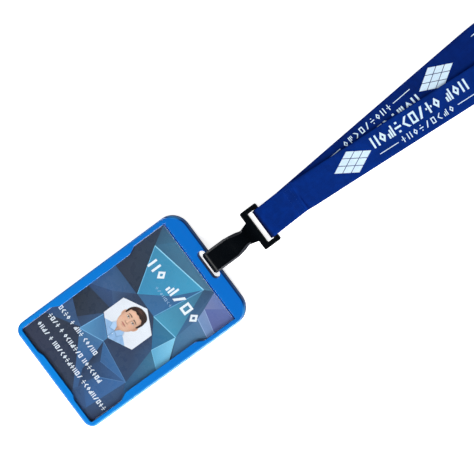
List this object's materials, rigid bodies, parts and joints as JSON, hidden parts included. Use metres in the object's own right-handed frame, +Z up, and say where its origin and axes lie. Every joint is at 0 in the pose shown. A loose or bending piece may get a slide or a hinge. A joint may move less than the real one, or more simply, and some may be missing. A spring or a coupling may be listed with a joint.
{
  "type": "lanyard badge holder",
  "caption": "Rigid upright card holder with wavy retaining lips and a header slot, on a plastic snap hook and a doubled printed webbing lanyard, lying flat with its spare strap tied up.",
  "frame": {"origin": "on the surface it lies on, under the middle of the holder and hook together", "axes": "+Y along the holder towards the hook and strap, +Z up out of the card's face, +X to the right seen from the front"},
  "size_m": [0.0711, 0.4249, 0.0161],
  "materials": {
    "holder_blue": "smooth satin gloss, polycarbonate",
    "cover_clear": "clear, glossy",
    "card_print": "printed and laminated",
    "hook_black": "moulded acetal, satin",
    "webbing_navy": "fine plain-woven polyester, printed",
    "thread_navy": "twisted polyester thread",
    "tie_band": "matt, dark"
  },
  "bodies": {
    "strap": {"strap_end_fold": "webbing_navy", "seam_stitches": "thread_navy", "strap_front_leg": "webbing_navy", "strap_rear_leg": "webbing_navy", "strap_hank": "webbing_navy", "tie_band": "tie_band"},
    "hook": {"hook_body": "hook_black"},
    "gate": {"hook_gate": "hook_black"},
    "holder": {"front_frame": "holder_blue", "back_cover": "holder_blue"},
    "card": {"id_card": "card_print"},
    "cover": {"clear_cover": "cover_clear"}
  },
  "joints": [
    {"name": "ring_hinge", "type": "hinge", "parent": "strap", "child": "hook", "pos_m": [0, 0.0627, 0.0022], "axis": [1, 0, 0], "range_deg": [-90, 90]},
    {"name": "gate_flex", "type": "hinge", "parent": "hook", "child": "gate", "pos_m": [0, 0.051, 0.00188], "axis": [1, 0, 0], "range_deg": [-14, 0], "stiffness_Nm_per_rad": 0.05},
    {"name": "holder_swing", "type": "hinge", "parent": "hook", "child": "holder", "pos_m": [0, 0.03306, 0.0035], "axis": [1, 0, 0], "range_deg": [-90, 90]},
    {"name": "card_play", "type": "slide", "parent": "holder", "child": "card", "axis": [0, 0.9999, 0.0155], "range_m": [0, 0.001]},
    {"name": "cover_play", "type": "slide", "parent": "holder", "child": "cover", "axis": [0, 0.9999, 0.0155], "range_m": [0, 0.001]}
  ]
}
